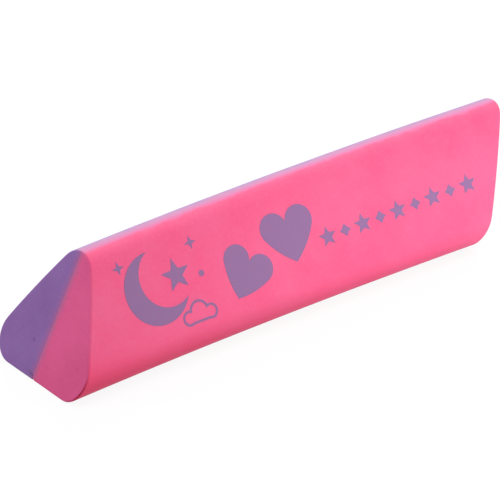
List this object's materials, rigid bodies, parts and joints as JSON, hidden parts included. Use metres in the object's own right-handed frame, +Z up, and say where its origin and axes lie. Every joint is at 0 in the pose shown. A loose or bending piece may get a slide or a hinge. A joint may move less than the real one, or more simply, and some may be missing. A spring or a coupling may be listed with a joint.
{
  "type": "vinyl eraser",
  "caption": "Triangular vinyl eraser bar in two coloured halves, slanted cut ends, rounded long corners, and a film of printed hearts, moon and stars on one sloping face.",
  "frame": {"origin": "middle of the space the bar fills, on the plane of its flat base", "axes": "+X along the bar from the near cut end to the far one, -Y towards the printed pink face, +Z up from the base to the ridge"},
  "size_m": [0.0724, 0.0184, 0.0158],
  "materials": {
    "pink_vinyl": "matte, slightly powdery soft vinyl",
    "purple_vinyl": "matte, slightly powdery soft vinyl",
    "print_ink": "thin matte printed ink"
  },
  "bodies": {
    "root": {"pink_half": "pink_vinyl", "purple_half": "purple_vinyl", "print": "print_ink"}
  },
  "joints": []
}
